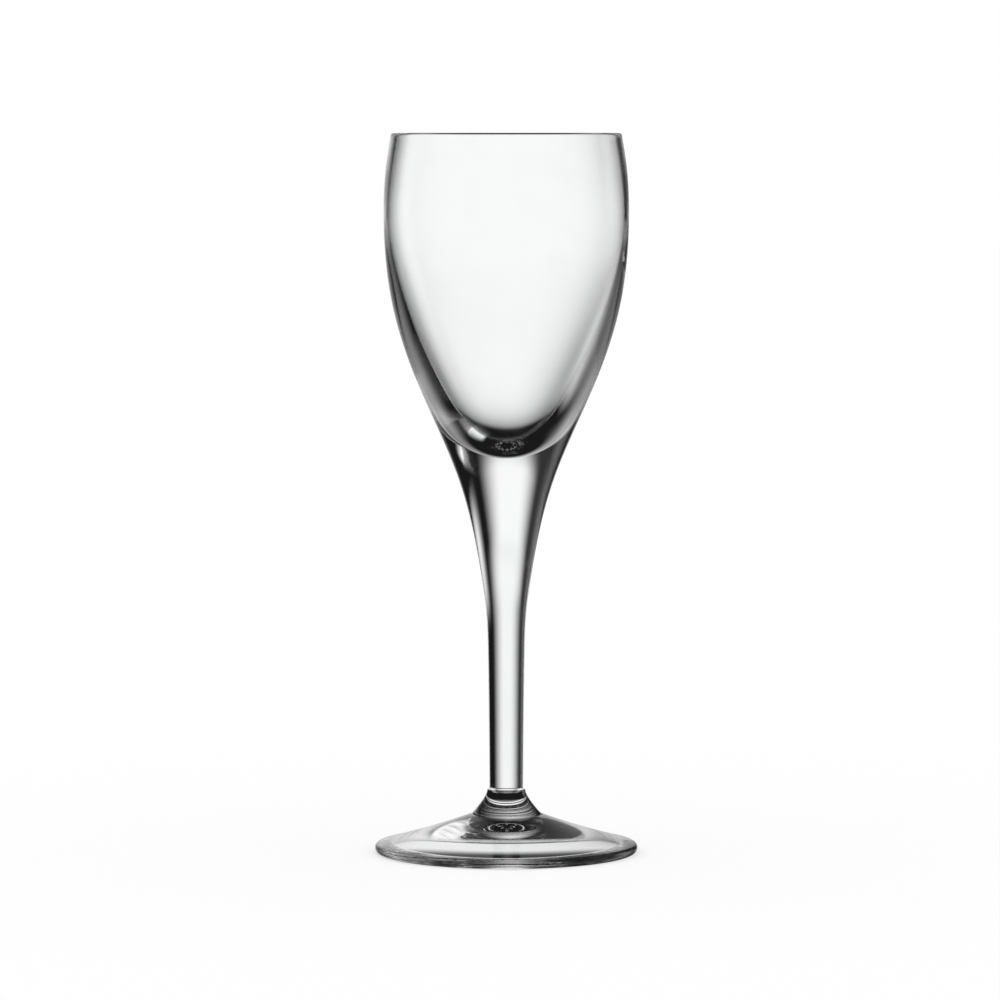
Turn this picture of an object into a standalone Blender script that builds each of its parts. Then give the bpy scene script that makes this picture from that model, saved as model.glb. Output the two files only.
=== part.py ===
"""Liqueur glass: a thick-bottomed tulip bowl on a drawn stem and a thin, hollowed foot.

Three pieces of clear glass, fused hot where their flat faces meet. Units are metres and +Z is up.
The origin is on the axis, at the level that the foot stands on.
"""
import math

import bpy
import numpy as np

# Foot
FOOT_DIAMETER = 0.0530
FOOT_EDGE_THICKNESS = 0.0019
FOOT_EDGE_ROUND = 0.0008         # upper corner of the edge
FOOT_HEEL_ROUND = 0.0010         # lower corner of the edge
FOOT_EDGE_LAND = 0.0001          # least upright stretch between the two
FOOT_CROWN_HEIGHT = 0.0078       # where the sloping top of the foot meets the hub
FOOT_TOP_DIP = 0.0003            # how far the sloping top sags below a straight line
STANDING_RING_WIDTH = 0.0028     # the flat ring under the edge that the glass stands on
HOLLOW_RISE = 0.0044             # how far the underside is hollowed out on the axis

# Hub, the short cone in the middle of the foot
HUB_RISE = 0.0050                # from the crown of the foot up to the fused face under the stem
HUB_LEDGE = 0.00045              # how far its top stands out around the stem
HUB_BASE_DIAMETER = 0.0142
HUB_SHOULDER_ROUND = 0.0002
HUB_FLARE_ANGLE = math.radians(52)

# Stem: its outline runs smoothly through these rings, each a length above the one before
STEM_FOOT_DIAMETER = 0.0068      # on the hub
STEM_SLIM_LENGTH = 0.0282
STEM_SLIM_DIAMETER = 0.0074
STEM_SWELL_LENGTH = 0.0080
STEM_SWELL_DIAMETER = 0.0081
STEM_FLARE_LENGTH = 0.0070
STEM_FLARE_DIAMETER = 0.0100
STEM_TOP_LENGTH = 0.0200         # up to the fused face under the bowl

# Bowl: the same outline runs on through these rings
BOWL_BASE_DIAMETER = 0.0195      # the fused face, which the top of the stem shares
BOWL_LOWER_HEIGHT = 0.0200
BOWL_LOWER_DIAMETER = 0.0366
BOWL_SHOULDER_HEIGHT = 0.0140
BOWL_SHOULDER_DIAMETER = 0.0455
BELLY_HEIGHT = 0.0180
BELLY_DIAMETER = 0.0492
NECK_HEIGHT = 0.0100
NECK_DIAMETER = 0.0483
RIM_HEIGHT = 0.00635             # up to the middle of the rounded rim
RIM_DIAMETER = 0.0464

# Cavity of the bowl: thickness of the glass at its floor and at the bowl's rings
BOWL_FLOOR = 0.0055              # above the fused face
BOWL_LOWER_WALL = 0.0041
BOWL_SHOULDER_WALL = 0.00245
BELLY_WALL = 0.0009
RIM_WALL = 0.0013

# Fullness of the hub's curve: how far each end keeps its direction, as a share of the curve's height
HUB_COLLAR_FULLNESS = 0.27
HUB_FLARE_FULLNESS = 0.10

FUSED_GAP = 0.0003               # room kept between two fused faces
AXIS_MERGE = 0.00001             # points on the axis that are closer than this become one

TURN_STEPS = 64
STEM_STEPS = 16
BOWL_STEPS = 18
CAVITY_STEPS = 18
HUB_STEPS = 8
TOP_STEPS = 5
HOLLOW_STEPS = 8
ROUND_STEPS = 4

CLEAR_GLASS = (0.97, 0.98, 0.98, 1.0)
GLASS_ROUGHNESS = 0.02
GLASS_INDEX = 1.52

UP = 0.0
DOWN = math.pi
OUTWARDS = math.pi / 2


def smooth_line(places, values):
    """Natural cubic spline through the values at rising places, as a function of the place."""
    places = np.array(places)
    values = np.array(values)
    count = len(places)
    spans = np.diff(places)
    slopes = np.diff(values) / spans
    system = np.identity(count)
    bends = np.zeros(count)
    for k in range(1, count - 1):
        system[k, k - 1:k + 2] = (spans[k - 1], 2 * (spans[k - 1] + spans[k]), spans[k])
        bends[k] = 6 * (slopes[k] - slopes[k - 1])
    bends = np.linalg.solve(system, bends)

    def value_at(place):
        k = min(max(int(np.searchsorted(places, place)) - 1, 0), count - 2)
        after = (place - places[k]) / spans[k]
        before = 1 - after
        sag = (before ** 3 - before) * bends[k] + (after ** 3 - after) * bends[k + 1]
        return float(before * values[k] + after * values[k + 1] + sag * spans[k] ** 2 / 6)

    return value_at


def step_along(point, heading, length):
    """The point moved by a length along a heading, an angle from straight up towards the outside."""
    return (point[0] + length * math.sin(heading), point[1] + length * math.cos(heading))


def curve(start, start_heading, start_fullness, end, end_heading, end_fullness, steps):
    """Points of a curve after its start, up to and including its end, which keeps both headings."""
    height = abs(end[1] - start[1])
    leave = step_along(start, start_heading, start_fullness * height)
    arrive = step_along(end, end_heading, -end_fullness * height)
    points = []
    for step in range(1, steps + 1):
        t = step / steps
        s = 1 - t
        weights = (s ** 3, 3 * s * s * t, 3 * s * t * t, t ** 3)
        corners = (start, leave, arrive, end)
        points.append(tuple(sum(w * c[k] for w, c in zip(weights, corners)) for k in (0, 1)))
    return points


def arc(centre, radius, first_heading, last_heading, steps):
    """Points of a circular arc, both ends included, seen from its centre along each heading."""
    turn = (last_heading - first_heading) / steps
    return [step_along(centre, first_heading + turn * step, radius) for step in range(steps + 1)]


def slope_onto_round(point, centre, radius):
    """Heading, seen from the centre of a round, of the place where a straight slope runs onto it."""
    across = centre[0] - point[0]
    drop = point[1] - centre[1]
    return math.atan2(drop, across) - math.asin(radius / math.hypot(across, drop))


def foot_profile():
    """Down from the fused face on the hub, over the foot's top and edge, and in along its underside."""
    shoulder = (STEM_FOOT_DIAMETER / 2 + HUB_LEDGE, hub_top - HUB_SHOULDER_ROUND)
    hub_base = (HUB_BASE_DIAMETER / 2, FOOT_CROWN_HEIGHT)
    rounded_height = FOOT_EDGE_THICKNESS - FOOT_EDGE_LAND
    edge_round = min(FOOT_EDGE_ROUND, rounded_height / 2)
    heel_round = min(FOOT_HEEL_ROUND, rounded_height - edge_round)
    edge = (FOOT_DIAMETER / 2 - edge_round, FOOT_EDGE_THICKNESS - edge_round)
    heel = (FOOT_DIAMETER / 2 - heel_round, heel_round)
    hollow_radius = heel[0] - STANDING_RING_WIDTH

    points = [(0, hub_top)]
    points += arc((shoulder[0] - HUB_SHOULDER_ROUND, shoulder[1]), HUB_SHOULDER_ROUND,
                  UP, OUTWARDS, ROUND_STEPS)
    points += curve(shoulder, DOWN, HUB_COLLAR_FULLNESS,
                    hub_base, DOWN - HUB_FLARE_ANGLE, HUB_FLARE_FULLNESS, HUB_STEPS)
    across = edge[0] - hub_base[0]
    edge_heading = slope_onto_round(hub_base, edge, edge_round) - math.atan2(4 * FOOT_TOP_DIP, across)
    edge_start = step_along(edge, edge_heading, edge_round)
    for step in range(1, TOP_STEPS):
        share = step / TOP_STEPS
        level = FOOT_CROWN_HEIGHT + (edge_start[1] - FOOT_CROWN_HEIGHT) * share
        dip = 4 * FOOT_TOP_DIP * share * (1 - share)
        points.append((hub_base[0] + (edge_start[0] - hub_base[0]) * share, level - dip))
    points += arc(edge, edge_round, edge_heading, OUTWARDS, ROUND_STEPS)
    points += arc(heel, heel_round, OUTWARDS, DOWN, ROUND_STEPS)
    for step in range(HOLLOW_STEPS + 1):
        share = 1 - step / HOLLOW_STEPS
        points.append((hollow_radius * share, HOLLOW_RISE * (1 - share ** 2)))
    return points


def outside(top, bottom, steps):
    """Points down the outline that the stem and the bowl share, from one height to another."""
    heights = np.linspace(top, bottom, steps + 1)
    return [(outline(height), float(height)) for height in heights]


def stem_profile():
    """Down from the fused face under the bowl to the fused face on the hub."""
    return [(0, stem_top)] + outside(stem_top, hub_top + FUSED_GAP, STEM_STEPS) + [(0, hub_top + FUSED_GAP)]


def bowl_profile():
    """Up the cavity from its floor, over the rounded rim and down the outside to the fused face."""
    floor = stem_top + BOWL_FLOOR
    walls = (BOWL_LOWER_WALL, BOWL_SHOULDER_WALL, BELLY_WALL, RIM_WALL)
    heights = (lower_ring, shoulder_ring, belly_ring, rim_ring)
    squares = [(outline(height) - wall) ** 2 for height, wall in zip(heights, walls)]
    square_at = smooth_line([floor, *heights], [0, *squares])
    lip = (RIM_DIAMETER / 2 - RIM_WALL / 2, rim_ring)

    points = [(0, floor)]
    for step in range(1, CAVITY_STEPS):
        height = floor + (rim_ring - floor) * (step / CAVITY_STEPS) ** 2
        points.append((math.sqrt(square_at(height)), height))
    points += arc(lip, RIM_WALL / 2, UP - OUTWARDS, OUTWARDS, 2 * ROUND_STEPS)
    points += outside(rim_ring, stem_top + FUSED_GAP, BOWL_STEPS)[1:]
    points.append((0, stem_top + FUSED_GAP))
    return points


def clear_glass(name):
    """A clear, polished glass."""
    material = bpy.data.materials.new(name)
    material.use_nodes = True
    shader = material.node_tree.nodes["Principled BSDF"]
    shader.inputs["Base Color"].default_value = CLEAR_GLASS
    shader.inputs["Roughness"].default_value = GLASS_ROUGHNESS
    shader.inputs["Metallic"].default_value = 0.0
    shader.inputs["IOR"].default_value = GLASS_INDEX
    shader.inputs["Transmission Weight"].default_value = 1.0
    return material


def turned(name, profile, height, collection, parent):
    """A piece of revolution from its half outline, with its own origin at a height on the axis."""
    mesh = bpy.data.meshes.new(name)
    vertices = [(radius, 0, level - height) for radius, level in profile]
    edges = [(k, k + 1) for k in range(len(vertices) - 1)]
    mesh.from_pydata(vertices, edges, [])
    mesh.materials.append(clear_glass(name + "_glass"))
    piece = bpy.data.objects.new(name, mesh)
    collection.objects.link(piece)
    piece.parent = parent
    piece.location = (0, 0, height)

    turn = piece.modifiers.new("turn", "SCREW")
    turn.axis = "Z"
    turn.angle = 2 * math.pi
    turn.steps = TURN_STEPS
    turn.render_steps = TURN_STEPS
    turn.use_smooth_shade = True
    turn.use_merge_vertices = True
    turn.merge_threshold = AXIS_MERGE
    return piece


for leftover in list(bpy.data.objects):
    bpy.data.objects.remove(leftover)

glass_parts = bpy.data.collections.new("liqueur_glass")
bpy.context.scene.collection.children.link(glass_parts)
glass_axis = bpy.data.objects.new("glass_axis", None)
glass_parts.objects.link(glass_axis)

hub_top = FOOT_CROWN_HEIGHT + HUB_RISE
slim_ring = hub_top + STEM_SLIM_LENGTH
swell_ring = slim_ring + STEM_SWELL_LENGTH
flare_ring = swell_ring + STEM_FLARE_LENGTH
stem_top = flare_ring + STEM_TOP_LENGTH
lower_ring = stem_top + BOWL_LOWER_HEIGHT
shoulder_ring = lower_ring + BOWL_SHOULDER_HEIGHT
belly_ring = shoulder_ring + BELLY_HEIGHT
neck_ring = belly_ring + NECK_HEIGHT
rim_ring = neck_ring + RIM_HEIGHT

ring_diameters = {
    hub_top: STEM_FOOT_DIAMETER,
    slim_ring: STEM_SLIM_DIAMETER,
    swell_ring: STEM_SWELL_DIAMETER,
    flare_ring: STEM_FLARE_DIAMETER,
    stem_top: BOWL_BASE_DIAMETER,
    lower_ring: BOWL_LOWER_DIAMETER,
    shoulder_ring: BOWL_SHOULDER_DIAMETER,
    belly_ring: BELLY_DIAMETER,
    neck_ring: NECK_DIAMETER,
    rim_ring: RIM_DIAMETER,
}
outline = smooth_line(list(ring_diameters), [diameter / 2 for diameter in ring_diameters.values()])

turned("foot", foot_profile(), 0, glass_parts, glass_axis)
turned("stem", stem_profile(), hub_top, glass_parts, glass_axis)
turned("bowl", bowl_profile(), stem_top, glass_parts, glass_axis)
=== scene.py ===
"""Liqueur glass in clear glass: a tulip bowl, a drawn stem and a pressed foot, fused into one body."""
import math
from collections import namedtuple

import bmesh
import bpy
import numpy as np
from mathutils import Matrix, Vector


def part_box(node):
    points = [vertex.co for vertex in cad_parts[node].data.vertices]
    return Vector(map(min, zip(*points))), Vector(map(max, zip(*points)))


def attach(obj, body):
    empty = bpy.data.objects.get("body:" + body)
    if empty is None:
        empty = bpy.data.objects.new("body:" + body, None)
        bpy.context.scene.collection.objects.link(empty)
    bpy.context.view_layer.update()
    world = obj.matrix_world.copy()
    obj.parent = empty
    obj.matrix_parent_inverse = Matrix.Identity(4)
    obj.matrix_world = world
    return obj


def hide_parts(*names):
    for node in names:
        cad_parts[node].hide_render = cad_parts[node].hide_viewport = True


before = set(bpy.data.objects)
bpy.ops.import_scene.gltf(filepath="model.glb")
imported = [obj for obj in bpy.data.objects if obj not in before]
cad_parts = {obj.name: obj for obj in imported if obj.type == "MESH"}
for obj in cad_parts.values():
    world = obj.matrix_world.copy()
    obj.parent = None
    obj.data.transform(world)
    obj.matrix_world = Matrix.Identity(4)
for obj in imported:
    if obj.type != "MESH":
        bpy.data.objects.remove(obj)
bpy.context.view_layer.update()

# Bowl: a tulip of clear soda-lime glass, thick and rounded at its base and thin at the belly. It is
# blown in a turning mould, cut off at the rim and fire-polished there, and its base runs hot into the
# stem, so the outside is one sweep from the hub of the foot to the rim and its rings are all set here.
hub_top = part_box("foot")[1].z
stem_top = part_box("stem")[1].z
rim_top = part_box("bowl")[1].z

RIM_DIAMETER = 0.0464
RIM_WALL = 0.0013
NECK_DIAMETER = 0.0483
NECK_BELOW_RIM = 0.00635
BELLY_DIAMETER = 0.0492
BELLY_BELOW_NECK = 0.0100
BELLY_WALL = 0.0009
SHOULDER_DIAMETER = 0.0455
SHOULDER_BELOW_BELLY = 0.0180
SHOULDER_WALL = 0.00245
LOWER_DIAMETER = 0.0366
LOWER_BELOW_SHOULDER = 0.0140
LOWER_WALL = 0.0041
BOWL_BASE_DIAMETER = 0.0195
BOWL_FLOOR = 0.0055
FLARE_DIAMETER = 0.0100
FLARE_BELOW_BOWL = 0.0200
SWELL_DIAMETER = 0.0081
SWELL_BELOW_FLARE = 0.0070
SLIM_DIAMETER = 0.0074
SLIM_BELOW_SWELL = 0.0080
STEM_FOOT_DIAMETER = 0.0068

TURN_STEPS = 256
BOWL_STEPS = 120
LIP_STEPS = 24
WELD_DISTANCE = 0.000001
SHARP_ANGLE = math.radians(50)
WHOLLY_FUSED = 0.99

GLASS_INDEX = 1.52
BOWL_TINT = (0.985, 0.99, 0.988, 1.0)
BOWL_CORD_TINT = (0.97, 0.98, 0.977, 1.0)
BOWL_CORDS = {"Scale": 55.0, "Detail": 2.0, "Distortion": 1.5}
BOWL_CORD_LEVELS = (0.45, 0.75)
BOWL_POLISH = 0.004
BOWL_SMEAR = 0.02
BOWL_SMEARS = {"Scale": 90.0, "Detail": 4.0}
BOWL_SMEAR_LEVELS = (0.5, 0.8)
RIM_POLISH = 0.03
RIM_POLISH_DEPTH = 0.0016
MOULD_WAVES = {"Scale": 70.0, "Detail": 0.0}
MOULD_WAVE_DEPTH = 0.000002

rim_ring = rim_top - RIM_WALL / 2
neck_ring = rim_ring - NECK_BELOW_RIM
belly_ring = neck_ring - BELLY_BELOW_NECK
shoulder_ring = belly_ring - SHOULDER_BELOW_BELLY
lower_ring = shoulder_ring - LOWER_BELOW_SHOULDER
flare_ring = stem_top - FLARE_BELOW_BOWL
swell_ring = flare_ring - SWELL_BELOW_FLARE
slim_ring = swell_ring - SLIM_BELOW_SWELL


def smooth_line(places, values):
    """Natural cubic spline through the values at rising places, as a function of the places."""
    places = np.array(places)
    values = np.array(values)
    count = len(places)
    spans = np.diff(places)
    slopes = np.diff(values) / spans
    system = np.identity(count)
    bends = np.zeros(count)
    for k in range(1, count - 1):
        system[k, k - 1:k + 2] = (spans[k - 1], 2 * (spans[k - 1] + spans[k]), spans[k])
        bends[k] = 6 * (slopes[k] - slopes[k - 1])
    bends = np.linalg.solve(system, bends)

    def values_at(where):
        k = np.clip(np.searchsorted(places, where) - 1, 0, count - 2)
        after = (where - places[k]) / spans[k]
        before = 1 - after
        sag = (before ** 3 - before) * bends[k] + (after ** 3 - after) * bends[k + 1]
        return before * values[k] + after * values[k + 1] + sag * spans[k] ** 2 / 6

    return values_at


def arc(centre, radius, first_heading, last_heading, steps):
    """Points of an arc seen from its centre along each heading, an angle from up towards the outside."""
    headings = np.linspace(first_heading, last_heading, steps + 1)
    return np.column_stack((centre[0] + radius * np.sin(headings), centre[1] + radius * np.cos(headings)))


class Wire:
    """A socket in a node tree: sums on it add Math nodes, and node() adds a node of any other kind."""

    def __init__(self, tree, socket=None):
        self.tree = tree
        self.socket = socket

    def node(self, kind, settings, sockets, output=0):
        added = self.tree.nodes.new(kind)
        for name, setting in settings.items():
            setattr(added, name, setting)
        for name, value in sockets.items():
            if isinstance(value, Wire):
                self.tree.links.new(added.inputs[name], value.socket)
            else:
                added.inputs[name].default_value = value
        return Wire(self.tree, added.outputs[output] if added.outputs else None)

    def of(self, output):
        """Another output of the node that this socket belongs to."""
        return Wire(self.tree, self.socket.node.outputs[output])

    def math(self, operation, *values):
        return self.node("ShaderNodeMath", {"operation": operation}, dict(enumerate(values)))

    def rise(self, low, high):
        """0 below low, 1 above high, and a soft step between them."""
        return self.node("ShaderNodeMapRange", {"interpolation_type": "SMOOTHSTEP"},
                         {"Value": self, "From Min": low, "From Max": high})

    def __add__(self, other):
        return self.math("ADD", self, other)

    __radd__ = __add__

    def __sub__(self, other):
        return self.math("SUBTRACT", self, other)

    def __rsub__(self, other):
        return self.math("SUBTRACT", other, self)

    def __mul__(self, other):
        return self.math("MULTIPLY", self, other)

    __rmul__ = __mul__

    def __truediv__(self, other):
        return self.math("DIVIDE", self, other)


def turning_tree():
    """Geometry Nodes that turn a half outline about the axis into a closed skin of glass."""
    tree = bpy.data.node_groups.new("turned_glass", "GeometryNodeTree")
    sockets = (("Outline", "NodeSocketGeometry"), ("Turn Steps", "NodeSocketInt"),
               ("Weld Distance", "NodeSocketFloat"), ("Glass", "NodeSocketMaterial"),
               ("Fused Face", "NodeSocketMaterial"))
    for name, kind in sockets:
        tree.interface.new_socket(name, in_out="INPUT", socket_type=kind)
    tree.interface.new_socket("Skin", in_out="OUTPUT", socket_type="NodeSocketGeometry")

    outline = Wire(tree).node("NodeGroupInput", {}, {}, "Outline")
    columns = outline.of("Turn Steps") + 1
    rows = outline.node("GeometryNodeAttributeDomainSize", {"component": "MESH"}, {"Geometry": outline})
    grid = outline.node("GeometryNodeMeshGrid", {}, {"Vertices X": rows, "Vertices Y": columns})

    # Half a point more keeps the row of a point clear of rounding.
    index = outline.node("GeometryNodeInputIndex", {}, {})
    row = index.math("FLOOR", (index + 0.5) / columns)
    angle = (index - row * columns) / outline.of("Turn Steps") * (2 * math.pi)
    position = outline.node("GeometryNodeInputPosition", {}, {})
    corner = outline.node("GeometryNodeSampleIndex", {"data_type": "FLOAT_VECTOR"},
                          {"Geometry": outline, "Value": position, "Index": row})
    radius = outline.node("ShaderNodeSeparateXYZ", {}, {"Vector": corner})
    place = outline.node("ShaderNodeCombineXYZ", {}, {"X": radius * angle.math("COSINE", angle),
                                                      "Y": radius * angle.math("SINE", angle),
                                                      "Z": radius.of("Z")})
    fused = outline.node("GeometryNodeInputNamedAttribute", {"data_type": "FLOAT"}, {"Name": "fused"})
    fused = outline.node("GeometryNodeSampleIndex", {"data_type": "FLOAT"},
                         {"Geometry": outline, "Value": fused, "Index": row})
    kept = outline.node("GeometryNodeCaptureAttribute", {"domain": "POINT"}, {"Geometry": grid})
    capture = kept.socket.node
    capture.capture_items.new("FLOAT", "fused")
    tree.links.new(capture.inputs["fused"], fused.socket)
    melted = kept.of("fused")

    skin = outline.node("GeometryNodeSetPosition", {}, {"Geometry": kept, "Position": place})
    skin = outline.node("GeometryNodeMergeByDistance", {},
                        {"Geometry": skin, "Distance": outline.of("Weld Distance")})
    skin = outline.node("GeometryNodeSetShadeSmooth", {}, {"Geometry": skin, "Shade Smooth": True})
    skin = outline.node("GeometryNodeRealizeInstances", {}, {"Geometry": skin})
    skin = outline.node("GeometryNodeSetMaterial", {}, {"Geometry": skin, "Material": outline.of("Glass")})
    melted = melted.node("FunctionNodeCompare", {"data_type": "FLOAT", "operation": "GREATER_THAN"},
                         {"A": melted, "B": WHOLLY_FUSED})
    skin = outline.node("GeometryNodeSetMaterial", {}, {"Geometry": skin, "Selection": melted,
                                                        "Material": outline.of("Fused Face")})
    outline.node("NodeGroupOutput", {}, {"Skin": skin})
    return tree


def turned(name, outline, fused, glass, fused_face):
    """A closed piece turned from a half outline, whose fused points span faces that melted together."""
    line = bpy.data.meshes.new(name)
    line.from_pydata([(radius, 0, height) for radius, height in outline], [], [])
    line.attributes.new("fused", "FLOAT", "POINT").data.foreach_set("value", fused)
    piece = bpy.data.objects.new(name, line)
    bpy.context.scene.collection.objects.link(piece)

    turn = piece.modifiers.new("turn", "NODES")
    turn.node_group = glass_turning
    values = {"Turn Steps": TURN_STEPS, "Weld Distance": WELD_DISTANCE, "Glass": glass,
              "Fused Face": fused_face}
    for socket in glass_turning.interface.items_tree:
        if socket.name in values:
            turn[socket.identifier] = values[socket.name]
    depsgraph = bpy.context.evaluated_depsgraph_get()
    piece_mesh = bpy.data.meshes.new_from_object(piece.evaluated_get(depsgraph), depsgraph=depsgraph)
    piece.modifiers.remove(turn)
    piece.data = piece_mesh
    for slot in reversed(range(len(piece_mesh.materials))):
        if piece_mesh.materials[slot] is None:
            piece_mesh.materials.pop(index=slot)

    skin = bmesh.new()
    skin.from_mesh(piece_mesh)
    bmesh.ops.recalc_face_normals(skin, faces=skin.faces)
    skin.to_mesh(piece_mesh)
    skin.free()
    piece_mesh.set_sharp_from_angle(angle=SHARP_ANGLE)
    return piece


def clear_glass(name):
    """A new material of clear glass and its shader."""
    material = bpy.data.materials.new(name)
    material.use_nodes = True
    shader = material.node_tree.nodes["Principled BSDF"]
    shader.inputs["IOR"].default_value = GLASS_INDEX
    shader.inputs["Transmission Weight"].default_value = 1.0
    return material, shader


def melted_face():
    """Where two pieces have melted together nothing is left to see."""
    material, shader = clear_glass("fused_face")
    shader.inputs["Alpha"].default_value = 0.0
    return material


def clouds(place, sizes):
    """Soft noise over the piece, between 0 and 1."""
    return place.node("ShaderNodeTexNoise", {}, {"Vector": place, **sizes})


def mixed_tint(amount, plain, corded):
    """The plain tint where the amount is 0 and the tint of a cord where it is 1."""
    first_colour, second_colour, mixed_colour = 6, 7, 2
    return amount.node("ShaderNodeMix", {"data_type": "RGBA"},
                       {"Factor": amount, first_colour: plain, second_colour: corded}, mixed_colour)


def dress(shader, tint, roughness, relief, depth):
    """Gives a glass shader its tint, its polish and a relief of this depth."""
    bump = relief.node("ShaderNodeBump", {}, {"Height": relief, "Strength": 1.0, "Distance": depth})
    for socket, value in (("Base Color", tint), ("Roughness", roughness), ("Normal", bump)):
        value.tree.links.new(shader.inputs[socket], value.socket)


def bowl_glass():
    """Faint cords in the melt, a turned mould's soft waves, and a rim that is less even than the wall."""
    material, shader = clear_glass("bowl_glass")
    place = Wire(material.node_tree).node("ShaderNodeTexCoord", {}, {}, "Object")
    height = place.node("ShaderNodeSeparateXYZ", {}, {"Vector": place}, "Z")
    cords = clouds(place, BOWL_CORDS).rise(*BOWL_CORD_LEVELS)
    smears = clouds(place, BOWL_SMEARS).rise(*BOWL_SMEAR_LEVELS)
    rim = height.rise(rim_top - RIM_POLISH_DEPTH, rim_top)
    dress(shader, mixed_tint(cords, BOWL_TINT, BOWL_CORD_TINT),
          BOWL_POLISH + smears * BOWL_SMEAR + rim * RIM_POLISH,
          clouds(place, MOULD_WAVES), MOULD_WAVE_DEPTH)
    return material


def bowl_outline():
    """Up the cavity from its floor, over the rounded rim and down the outside to the fused face."""
    floor = stem_top + BOWL_FLOOR
    rings = np.array((lower_ring, shoulder_ring, belly_ring, rim_ring))
    walls = np.array((LOWER_WALL, SHOULDER_WALL, BELLY_WALL, RIM_WALL))
    cavity = smooth_line([floor, *rings], [0, *(outside(rings) - walls) ** 2])
    shares = np.linspace(0, 1, BOWL_STEPS + 1)[:-1]
    heights = floor + (rim_ring - floor) * shares ** 2
    inner = np.column_stack((np.sqrt(np.maximum(cavity(heights), 0)), heights))
    lip_centre = (RIM_DIAMETER / 2 - RIM_WALL / 2, rim_ring)
    lip = arc(lip_centre, RIM_WALL / 2, -math.pi / 2, math.pi / 2, LIP_STEPS)
    heights = np.linspace(rim_ring, stem_top, BOWL_STEPS + 1)[1:]
    outer = np.column_stack((outside(heights), heights))
    return np.vstack((inner, lip, outer, [(0, stem_top)]))


outside_rings = {
    hub_top: STEM_FOOT_DIAMETER,
    slim_ring: SLIM_DIAMETER,
    swell_ring: SWELL_DIAMETER,
    flare_ring: FLARE_DIAMETER,
    stem_top: BOWL_BASE_DIAMETER,
    lower_ring: LOWER_DIAMETER,
    shoulder_ring: SHOULDER_DIAMETER,
    belly_ring: BELLY_DIAMETER,
    neck_ring: NECK_DIAMETER,
    rim_ring: RIM_DIAMETER,
}
outside = smooth_line(list(outside_rings), [diameter / 2 for diameter in outside_rings.values()])
glass_turning = turning_tree()
fused_face = melted_face()

bowl_points = bowl_outline()
bowl_fused = np.zeros(len(bowl_points))
bowl_fused[-2:] = 1
bowl = turned("tulip_bowl", bowl_points, bowl_fused, bowl_glass(), fused_face)
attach(bowl, "root")
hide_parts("bowl")

# Stem: a solid rod of the same glass, drawn out of the bowl's base while it is soft, so it flares into
# the bowl without a seam and keeps faint lines along its length. Its lower end is fused to the hub.
STEM_STEPS = 120
STEM_TINT = (0.985, 0.99, 0.988, 1.0)
STEM_CORD_TINT = (0.972, 0.982, 0.979, 1.0)
STEM_CORDS = {"Scale": 160.0, "Detail": 2.0}
STEM_CORD_LEVELS = (0.45, 0.75)
DRAWN_STRETCH = 0.08
STEM_POLISH = 0.004
STEM_SMEAR = 0.015
STEM_SMEAR_LEVELS = (0.55, 0.8)
DRAWN_LINES = {"Scale": 220.0, "Detail": 1.0}
DRAWN_LINE_DEPTH = 0.0000006


def stem_glass():
    """Cords and lines pulled long by the drawing."""
    material, shader = clear_glass("stem_glass")
    place = Wire(material.node_tree).node("ShaderNodeTexCoord", {}, {}, "Object")
    drawn = place.node("ShaderNodeMapping", {}, {"Vector": place, "Scale": (1.0, 1.0, DRAWN_STRETCH)})
    cords = clouds(drawn, STEM_CORDS)
    dress(shader, mixed_tint(cords.rise(*STEM_CORD_LEVELS), STEM_TINT, STEM_CORD_TINT),
          STEM_POLISH + cords.rise(*STEM_SMEAR_LEVELS) * STEM_SMEAR,
          clouds(drawn, DRAWN_LINES), DRAWN_LINE_DEPTH)
    return material


stem_heights = np.linspace(stem_top, hub_top, STEM_STEPS + 1)
stem_side = np.column_stack((outside(stem_heights), stem_heights))
stem_points = np.vstack(([(0, stem_top)], stem_side, [(0, hub_top)]))
stem_fused = np.zeros(len(stem_points))
stem_fused[:2] = 1
stem_fused[-2:] = 1
stem = turned("drawn_stem", stem_points, stem_fused, stem_glass(), fused_face)
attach(stem, "root")
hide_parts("stem")

# Foot: a thin round plate of the same glass with a short hub in its middle, pressed in a mould and
# fire-polished. It slopes up to the hub, is hollowed underneath and stands on a flat ring near its edge.
FOOT_EDGE_THICKNESS = 0.0019
FOOT_EDGE_ROUND = 0.0008
FOOT_HEEL_ROUND = 0.0010
FOOT_TOP_DIP = 0.0003
STANDING_RING_WIDTH = 0.0028
HOLLOW_RISE = 0.0044
HUB_RISE = 0.0050
HUB_LEDGE = 0.00045
HUB_BASE_DIAMETER = 0.0142
HUB_SHOULDER_ROUND = 0.0002
HUB_FLARE_ANGLE = math.radians(52)
HUB_COLLAR_FULLNESS = 0.27
HUB_FLARE_FULLNESS = 0.10
SHOULDER_STEPS = 8
HUB_STEPS = 48
TOP_STEPS = 60
EDGE_STEPS = 16
HOLLOW_STEPS = 80

FOOT_TINT = (0.985, 0.99, 0.988, 1.0)
FOOT_CORD_TINT = (0.97, 0.98, 0.977, 1.0)
FOOT_CORDS = {"Scale": 60.0, "Detail": 2.0, "Distortion": 1.0}
FOOT_CORD_LEVELS = (0.45, 0.75)
FOOT_POLISH = 0.004
FOOT_SMEAR = 0.02
FOOT_SMEARS = {"Scale": 110.0, "Detail": 4.0}
FOOT_SMEAR_LEVELS = (0.5, 0.8)
RING_SCUFF = 0.25
RING_SCUFFS = {"Scale": 900.0, "Detail": 3.0}
RING_SCUFF_LEVELS = (0.4, 0.7)
RING_SCUFF_HEIGHT = 0.00008
PRESS_WAVES = {"Scale": 80.0, "Detail": 0.0}
PRESS_WAVE_DEPTH = 0.000001


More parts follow.
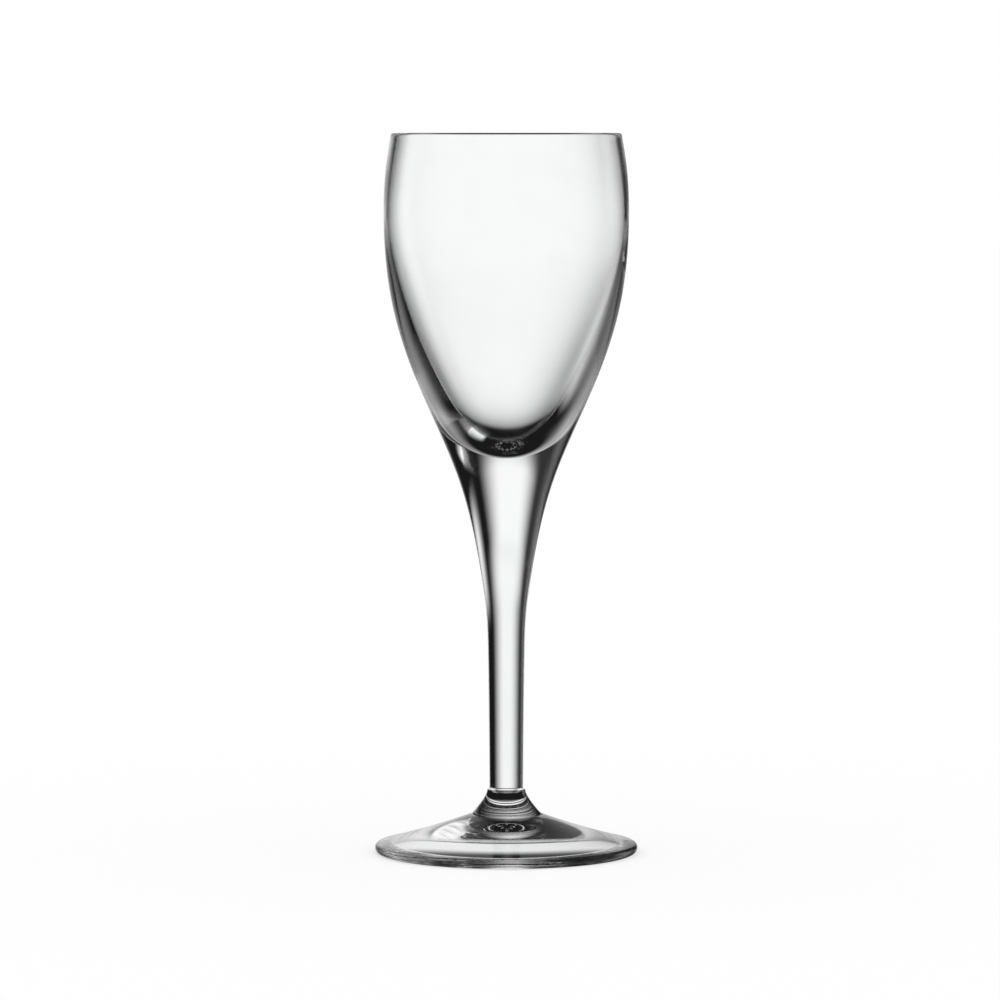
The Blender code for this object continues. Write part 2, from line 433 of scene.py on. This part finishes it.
def foot_glass():
    """Soft waves of the press mould, and a standing ring scuffed by tables."""
    material, shader = clear_glass("foot_glass")
    place = Wire(material.node_tree).node("ShaderNodeTexCoord", {}, {}, "Object")
    height = place.node("ShaderNodeSeparateXYZ", {}, {"Vector": place}, "Z")
    cords = clouds(place, FOOT_CORDS).rise(*FOOT_CORD_LEVELS)
    smears = clouds(place, FOOT_SMEARS).rise(*FOOT_SMEAR_LEVELS)
    scuffs = clouds(place, RING_SCUFFS).rise(*RING_SCUFF_LEVELS)
    standing = 1 - height.rise(0.0, RING_SCUFF_HEIGHT)
    dress(shader, mixed_tint(cords, FOOT_TINT, FOOT_CORD_TINT),
          FOOT_POLISH + smears * FOOT_SMEAR + standing * scuffs * RING_SCUFF,
          clouds(place, PRESS_WAVES), PRESS_WAVE_DEPTH)
    return material


def hub_side(shoulder, base):
    """The hub's curve, upright below its shoulder and running out onto the foot's top."""
    reach = shoulder[1] - base[1]
    leave = (shoulder[0], shoulder[1] - HUB_COLLAR_FULLNESS * reach)
    arrive = (base[0] - HUB_FLARE_FULLNESS * reach * math.sin(HUB_FLARE_ANGLE),
              base[1] + HUB_FLARE_FULLNESS * reach * math.cos(HUB_FLARE_ANGLE))
    t = np.linspace(0, 1, HUB_STEPS + 1)[:, None]
    corners = np.array((shoulder, leave, arrive, base))
    weights = np.hstack(((1 - t) ** 3, 3 * (1 - t) ** 2 * t, 3 * (1 - t) * t ** 2, t ** 3))
    return weights @ corners


def foot_outline():
    """Down from the fused face on the hub, over the foot's top and edge, and in along its underside."""
    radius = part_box("foot")[1].x
    stem_radius = STEM_FOOT_DIAMETER / 2
    shoulder = (stem_radius + HUB_LEDGE, hub_top - HUB_SHOULDER_ROUND)
    shoulder_centre = (shoulder[0] - HUB_SHOULDER_ROUND, shoulder[1])
    crown = (HUB_BASE_DIAMETER / 2, hub_top - HUB_RISE)
    edge = (radius - FOOT_EDGE_ROUND, FOOT_EDGE_THICKNESS - FOOT_EDGE_ROUND)
    heel = (radius - FOOT_HEEL_ROUND, FOOT_HEEL_ROUND)
    hollow_radius = heel[0] - STANDING_RING_WIDTH

    across = edge[0] - crown[0]
    drop = crown[1] - edge[1]
    slope = math.atan2(drop, across) - math.asin(FOOT_EDGE_ROUND / math.hypot(across, drop))
    slope -= math.atan2(4 * FOOT_TOP_DIP, across)
    edge_round = arc(edge, FOOT_EDGE_ROUND, slope, math.pi / 2, EDGE_STEPS)
    share = np.linspace(0, 1, TOP_STEPS + 1)[1:-1]
    top_radii = crown[0] + (edge_round[0, 0] - crown[0]) * share
    top_levels = crown[1] + (edge_round[0, 1] - crown[1]) * share - 4 * FOOT_TOP_DIP * share * (1 - share)
    inwards = np.linspace(1, 0, HOLLOW_STEPS + 1)
    hollow = np.column_stack((hollow_radius * inwards, HOLLOW_RISE * (1 - inwards ** 2)))
    return np.vstack((
        [(0, hub_top), (stem_radius, hub_top)],
        arc(shoulder_centre, HUB_SHOULDER_ROUND, 0, math.pi / 2, SHOULDER_STEPS),
        hub_side(shoulder, crown)[1:],
        np.column_stack((top_radii, top_levels)),
        edge_round,
        arc(heel, FOOT_HEEL_ROUND, math.pi / 2, math.pi, EDGE_STEPS),
        hollow,
    ))


foot_points = foot_outline()
foot_fused = np.zeros(len(foot_points))
foot_fused[:2] = 1
foot = turned("pressed_foot", foot_points, foot_fused, foot_glass(), fused_face)
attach(foot, "root")
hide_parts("foot")

# Table and studio: a wide white table top in a white room. Black flags and a dark hall stand around the
# glass, as they do where glass is photographed on white, so that its edges and thick parts draw dark
# lines, and a white backdrop, a soft box on the right and its streak in the table light it up.
TABLE_SPAN = 12.0
TABLE_WHITE = 1.0
TABLE_GLOW_SHARE = 0.5
ROOM_WHITE = 1.0
HALL_DARK = 0.01
MOST_BOUNCES = 32
MOST_REFLECTIONS = 24

# A card reaches across from its left to its right edge and up from its lower to its upper edge, in degrees
# as seen from the glass: 0 is straight behind it, and right and up are positive. Its edges are soft over
# some degrees across and up, and a later card stands in front of an earlier one.
Card = namedtuple("Card", "name across up soft brightness")

# The glass shows the studio in three ways: straight through a solid piece, which crosses two surfaces of
# glass, straight through the bowl, which crosses more, and by way of a reflection.
SOLID_SURFACES = 2
SEEN_THROUGH_SOLID = (
    Card("flag on the left", across=(-70, 20), up=(-9, 45), soft=(12, 5), brightness=0.04),
    Card("flag on the right", across=(0, 70), up=(-9, 45), soft=(12, 5), brightness=0.01),
    Card("flag under the backdrop", across=(-30, 30), up=(-24, -9.5), soft=(10, 4), brightness=0.02),
    Card("flag in front on the left", across=(-166, -149), up=(-45, 60), soft=(10, 10), brightness=0.15),
    Card("flag beside it on the left", across=(-121, -104), up=(-45, 60), soft=(10, 10), brightness=0.15),
    Card("flag beside it on the right", across=(104, 121), up=(-45, 60), soft=(10, 10), brightness=0.15),
    Card("flag in front on the right", across=(149, 166), up=(-45, 60), soft=(10, 10), brightness=0.15),
    Card("lower backdrop", across=(-23, 20), up=(-13.5, 7.5), soft=(32, 5), brightness=1.0),
    Card("upper backdrop", across=(-24, 16), up=(5, 27), soft=(24, 9), brightness=1.05),
    Card("soft box", across=(45, 95), up=(6, 21), soft=(24, 18), brightness=1.2),
)
SEEN_THROUGH_BOWL = (
    Card("far table", across=(-32, 32), up=(-45, -9), soft=(10, 6), brightness=0.3),
    Card("table near the glass", across=(-32, 32), up=(-76, -30), soft=(10, 8), brightness=0.01),
    Card("table under the glass", across=(-200, 200), up=(-100, -64), soft=(10, 6), brightness=0.01),
    Card("flags", across=(-30, 30), up=(-9, 11), soft=(10, 6), brightness=0.4),
    Card("table behind the glass", across=(-20, 13), up=(-25, -5), soft=(14, 25), brightness=0.65),
    Card("backdrop", across=(-12, 8), up=(-18, 14), soft=(14, 24), brightness=1.15),
    Card("soft box in the table", across=(20, 47), up=(-20, -7.5), soft=(25, 15), brightness=1.3),
)
SEEN_REFLECTED = (
    Card("backdrop's lower edge", across=(-27, 28), up=(-11, -5), soft=(17, 8), brightness=0.45),
    Card("backdrop", across=(-17, 7), up=(-12.5, 37), soft=(34, 29), brightness=0.9),
    Card("table behind the glass", across=(-21, 9), up=(-33, -10.5), soft=(34, 29), brightness=0.45),
    Card("soft box", across=(47, 66), up=(0, 19.5), soft=(16, 16), brightness=1.3),
    Card("soft box in the table", across=(42, 65), up=(-36, 9), soft=(34, 13), brightness=1.1),
)


def within(angle, edges, soft):
    """1 between two edges and 0 outside them, with a soft step at each."""
    low, high = edges
    past_low = angle.rise(low - soft / 2, low + soft / 2)
    past_high = angle.rise(high - soft / 2, high + soft / 2)
    return past_low * (1 - past_high)


def studio_world():
    """White for the camera and as light, and the studio's cards for what the glass shows."""
    world = bpy.data.worlds.new("studio")
    world.use_nodes = True
    tree = world.node_tree
    direction = Wire(tree).node("ShaderNodeTexCoord", {}, {}, "Generated")
    across = direction.node("ShaderNodeSeparateXYZ", {}, {"Vector": direction})
    azimuth = across.math("ARCTAN2", across, across.of("Y")) * math.degrees(1)
    elevation = across.math("ARCSINE", across.of("Z")) * math.degrees(1)

    def room(brightness, cards):
        """What is seen in each direction of a room of this brightness with the cards standing in it."""
        seen = brightness
        for card in cards:
            mask = within(azimuth, card.across, card.soft[0]) * within(elevation, card.up, card.soft[1])
            mask.socket.node.label = card.name
            seen = seen + (card.brightness - seen) * mask
        return seen

    path = direction.node("ShaderNodeLightPath", {}, {}, "Is Camera Ray")
    reflected = path.math("MINIMUM", path.of("Glossy Depth"), 1)
    through_bowl = path.math("GREATER_THAN", path.of("Transmission Depth"), SOLID_SURFACES + 0.5)
    seen = room(ROOM_WHITE, SEEN_THROUGH_SOLID)
    seen = seen + through_bowl * (room(ROOM_WHITE, SEEN_THROUGH_BOWL) - seen)
    seen = seen + reflected * (room(HALL_DARK, SEEN_REFLECTED) - seen)

    in_glass = path.math("MAXIMUM", path.of("Is Glossy Ray"), path.of("Is Transmission Ray"))
    in_glass = in_glass * (1 - path)
    strength = ROOM_WHITE + in_glass * (seen - ROOM_WHITE)
    tree.links.new(tree.nodes["Background"].inputs["Strength"], strength.socket)
    tree.nodes["Background"].inputs["Color"].default_value = (1, 1, 1, 1)
    return world


def table_white():
    """Matt white that glows a little, so that only a faint shadow of the glass is left on it."""
    material = bpy.data.materials.new("table_white")
    material.use_nodes = True
    tree = material.node_tree
    tree.nodes.remove(tree.nodes["Principled BSDF"])
    white = (TABLE_WHITE, TABLE_WHITE, TABLE_WHITE, 1)
    matt = Wire(tree).node("ShaderNodeBsdfDiffuse", {}, {"Color": white})
    glow = matt.node("ShaderNodeEmission", {}, {"Color": (1, 1, 1, 1), "Strength": 1.0})
    mixed = matt.node("ShaderNodeMixShader", {}, {0: TABLE_GLOW_SHARE, 1: matt, 2: glow})
    tree.links.new(tree.nodes["Material Output"].inputs["Surface"], mixed.socket)
    return material


half = TABLE_SPAN / 2
table_corners = [(-half, -half, 0), (half, -half, 0), (half, half, 0), (-half, half, 0)]
table_mesh = bpy.data.meshes.new("table_top")
table_mesh.from_pydata(table_corners, [], [(0, 1, 2, 3)])
table_mesh.materials.append(table_white())
table = bpy.data.objects.new("table_top", table_mesh)
bpy.context.scene.collection.objects.link(table)
table.visible_glossy = False
table.visible_transmission = False

scene = bpy.context.scene
scene.world = studio_world()
scene.view_settings.view_transform = "Standard"
scene.cycles.max_bounces = MOST_BOUNCES
scene.cycles.glossy_bounces = MOST_REFLECTIONS
scene.cycles.transmission_bounces = MOST_BOUNCES
scene.cycles.transparent_max_bounces = MOST_BOUNCES

# Camera: a long lens at the height of the rim, tilted down a little.
CAMERA_DISTANCE = 1.073
CAMERA_OFFSET = -0.00127
CAMERA_TILT = math.radians(3.93)
CAMERA_LENS = 192.4
camera_data = bpy.data.cameras.new("camera")
camera_data.lens = CAMERA_LENS
camera = bpy.data.objects.new("camera", camera_data)
camera.location = (CAMERA_OFFSET, -CAMERA_DISTANCE, rim_top)
camera.rotation_euler = (math.pi / 2 - CAMERA_TILT, 0, 0)
scene.collection.objects.link(camera)
scene.camera = camera
